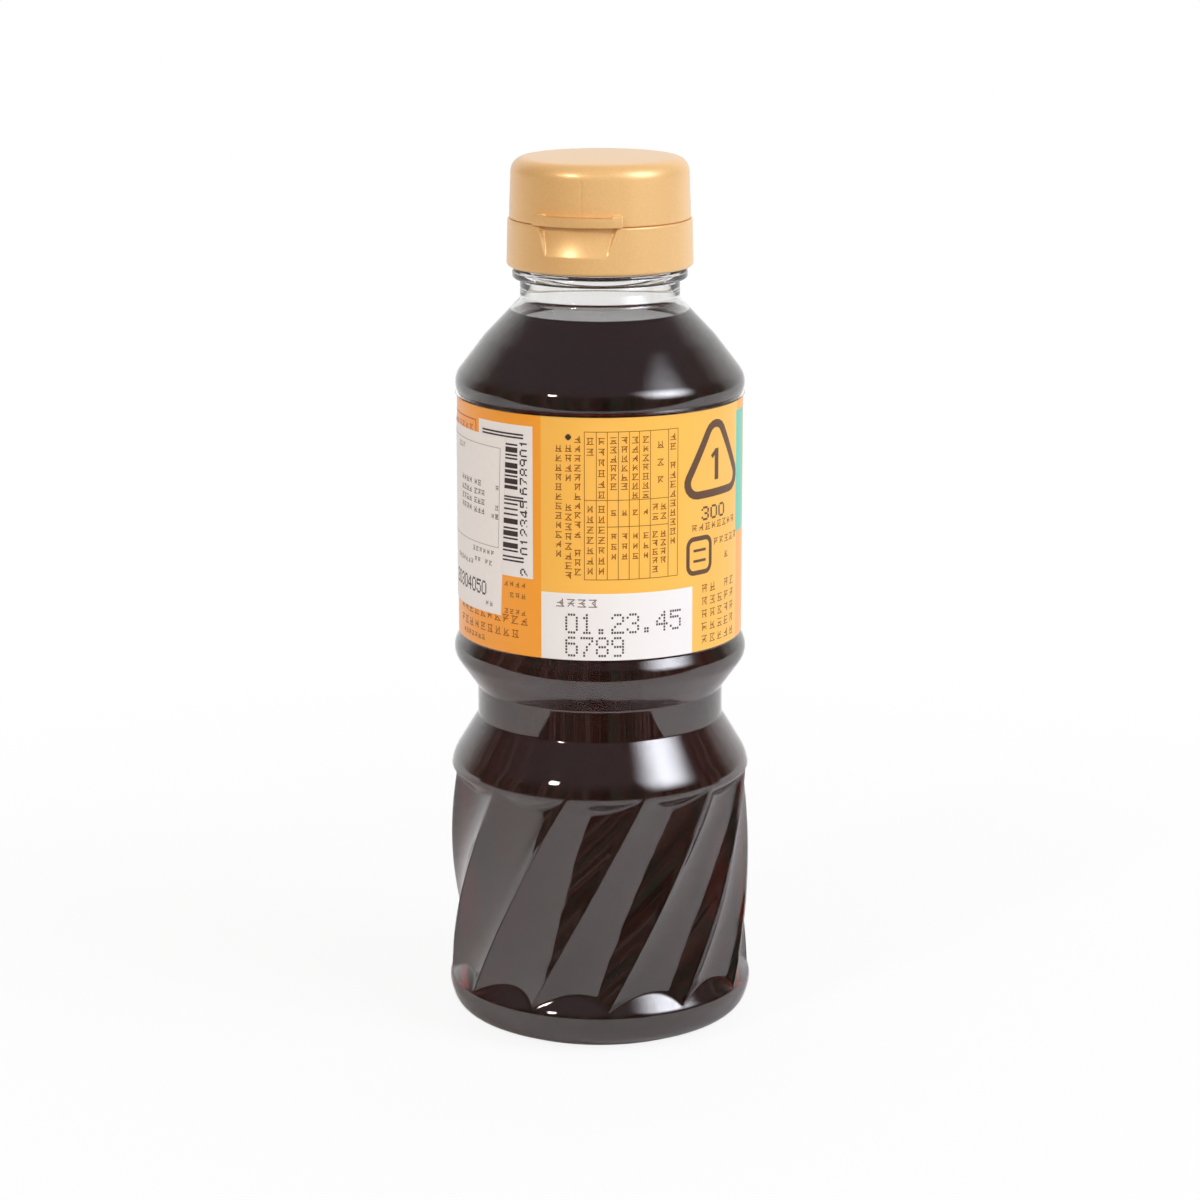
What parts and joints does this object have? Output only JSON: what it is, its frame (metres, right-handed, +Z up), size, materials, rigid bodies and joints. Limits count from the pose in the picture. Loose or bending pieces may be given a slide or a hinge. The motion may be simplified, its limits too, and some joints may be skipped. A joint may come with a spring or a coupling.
{
  "type": "soup base bottle",
  "caption": "Clear plastic bottle of dark liquid soup base with a twisted-flute lower body, a pinched waist, a wrap label and a gold flip-top cap.",
  "frame": {"origin": "centre of the bottle's base, on the surface it stands on", "axes": "+Z up along the bottle's axis, -Y the front, +X to the right as seen from the front"},
  "size_m": [0.059, 0.059, 0.1681],
  "materials": {
    "bottle": "clear blown PET",
    "soup_base": "dark red-brown liquid seen through the bottle",
    "label": "satin printed paper, orange",
    "import_sticker": "matte white paper sticker",
    "cap": "satin gold plastic"
  },
  "bodies": {
    "bottle": {"bottle": "bottle", "soup_base": "soup_base", "label": "label", "import_sticker": "import_sticker", "cap_base": "cap"},
    "lid": {"cap_lid": "cap"}
  },
  "joints": [
    {"name": "lid_hinge", "type": "hinge", "parent": "bottle", "child": "lid", "pos_m": [0.0048, 0.0173, 0.15664], "axis": [-0.9636, 0.2672, 0], "range_deg": [0, 150]}
  ]
}
